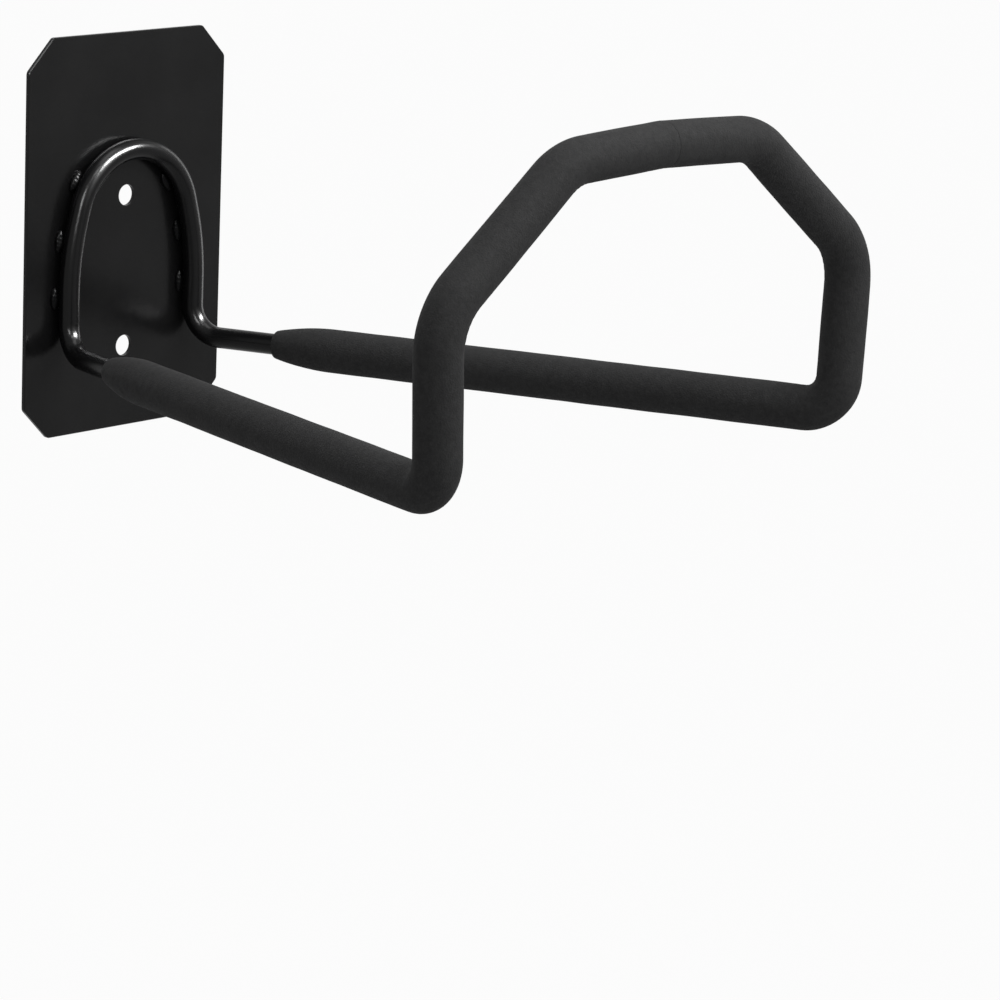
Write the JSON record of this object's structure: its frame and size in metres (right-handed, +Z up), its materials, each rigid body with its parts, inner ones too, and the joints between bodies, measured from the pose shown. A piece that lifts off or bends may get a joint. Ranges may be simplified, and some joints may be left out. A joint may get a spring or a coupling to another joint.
{
  "type": "hose hanger",
  "caption": "Wall hose hanger: clipped-corner steel plate with screw holes and a welded bent-rod hook whose arms and upturned front loop are covered by foam sleeves.",
  "frame": {"origin": "middle of the plate's back face, which lies on the wall", "axes": "+X along the wall to the right when facing it, +Y into the wall, +Z up; the hook reaches out along -Y"},
  "size_m": [0.2318, 0.2678, 0.15],
  "materials": {
    "plate_paint": "satin black paint",
    "rod_paint": "gloss black paint",
    "weld_paint": "gloss black paint over weld",
    "foam": "matte charcoal closed-cell foam"
  },
  "bodies": {
    "root": {"back_plate": "plate_paint", "hook_rod": "rod_paint", "leg_welds_left": "weld_paint", "leg_welds_right": "weld_paint", "foam_sleeve_left": "foam", "foam_sleeve_right": "foam"}
  },
  "joints": []
}
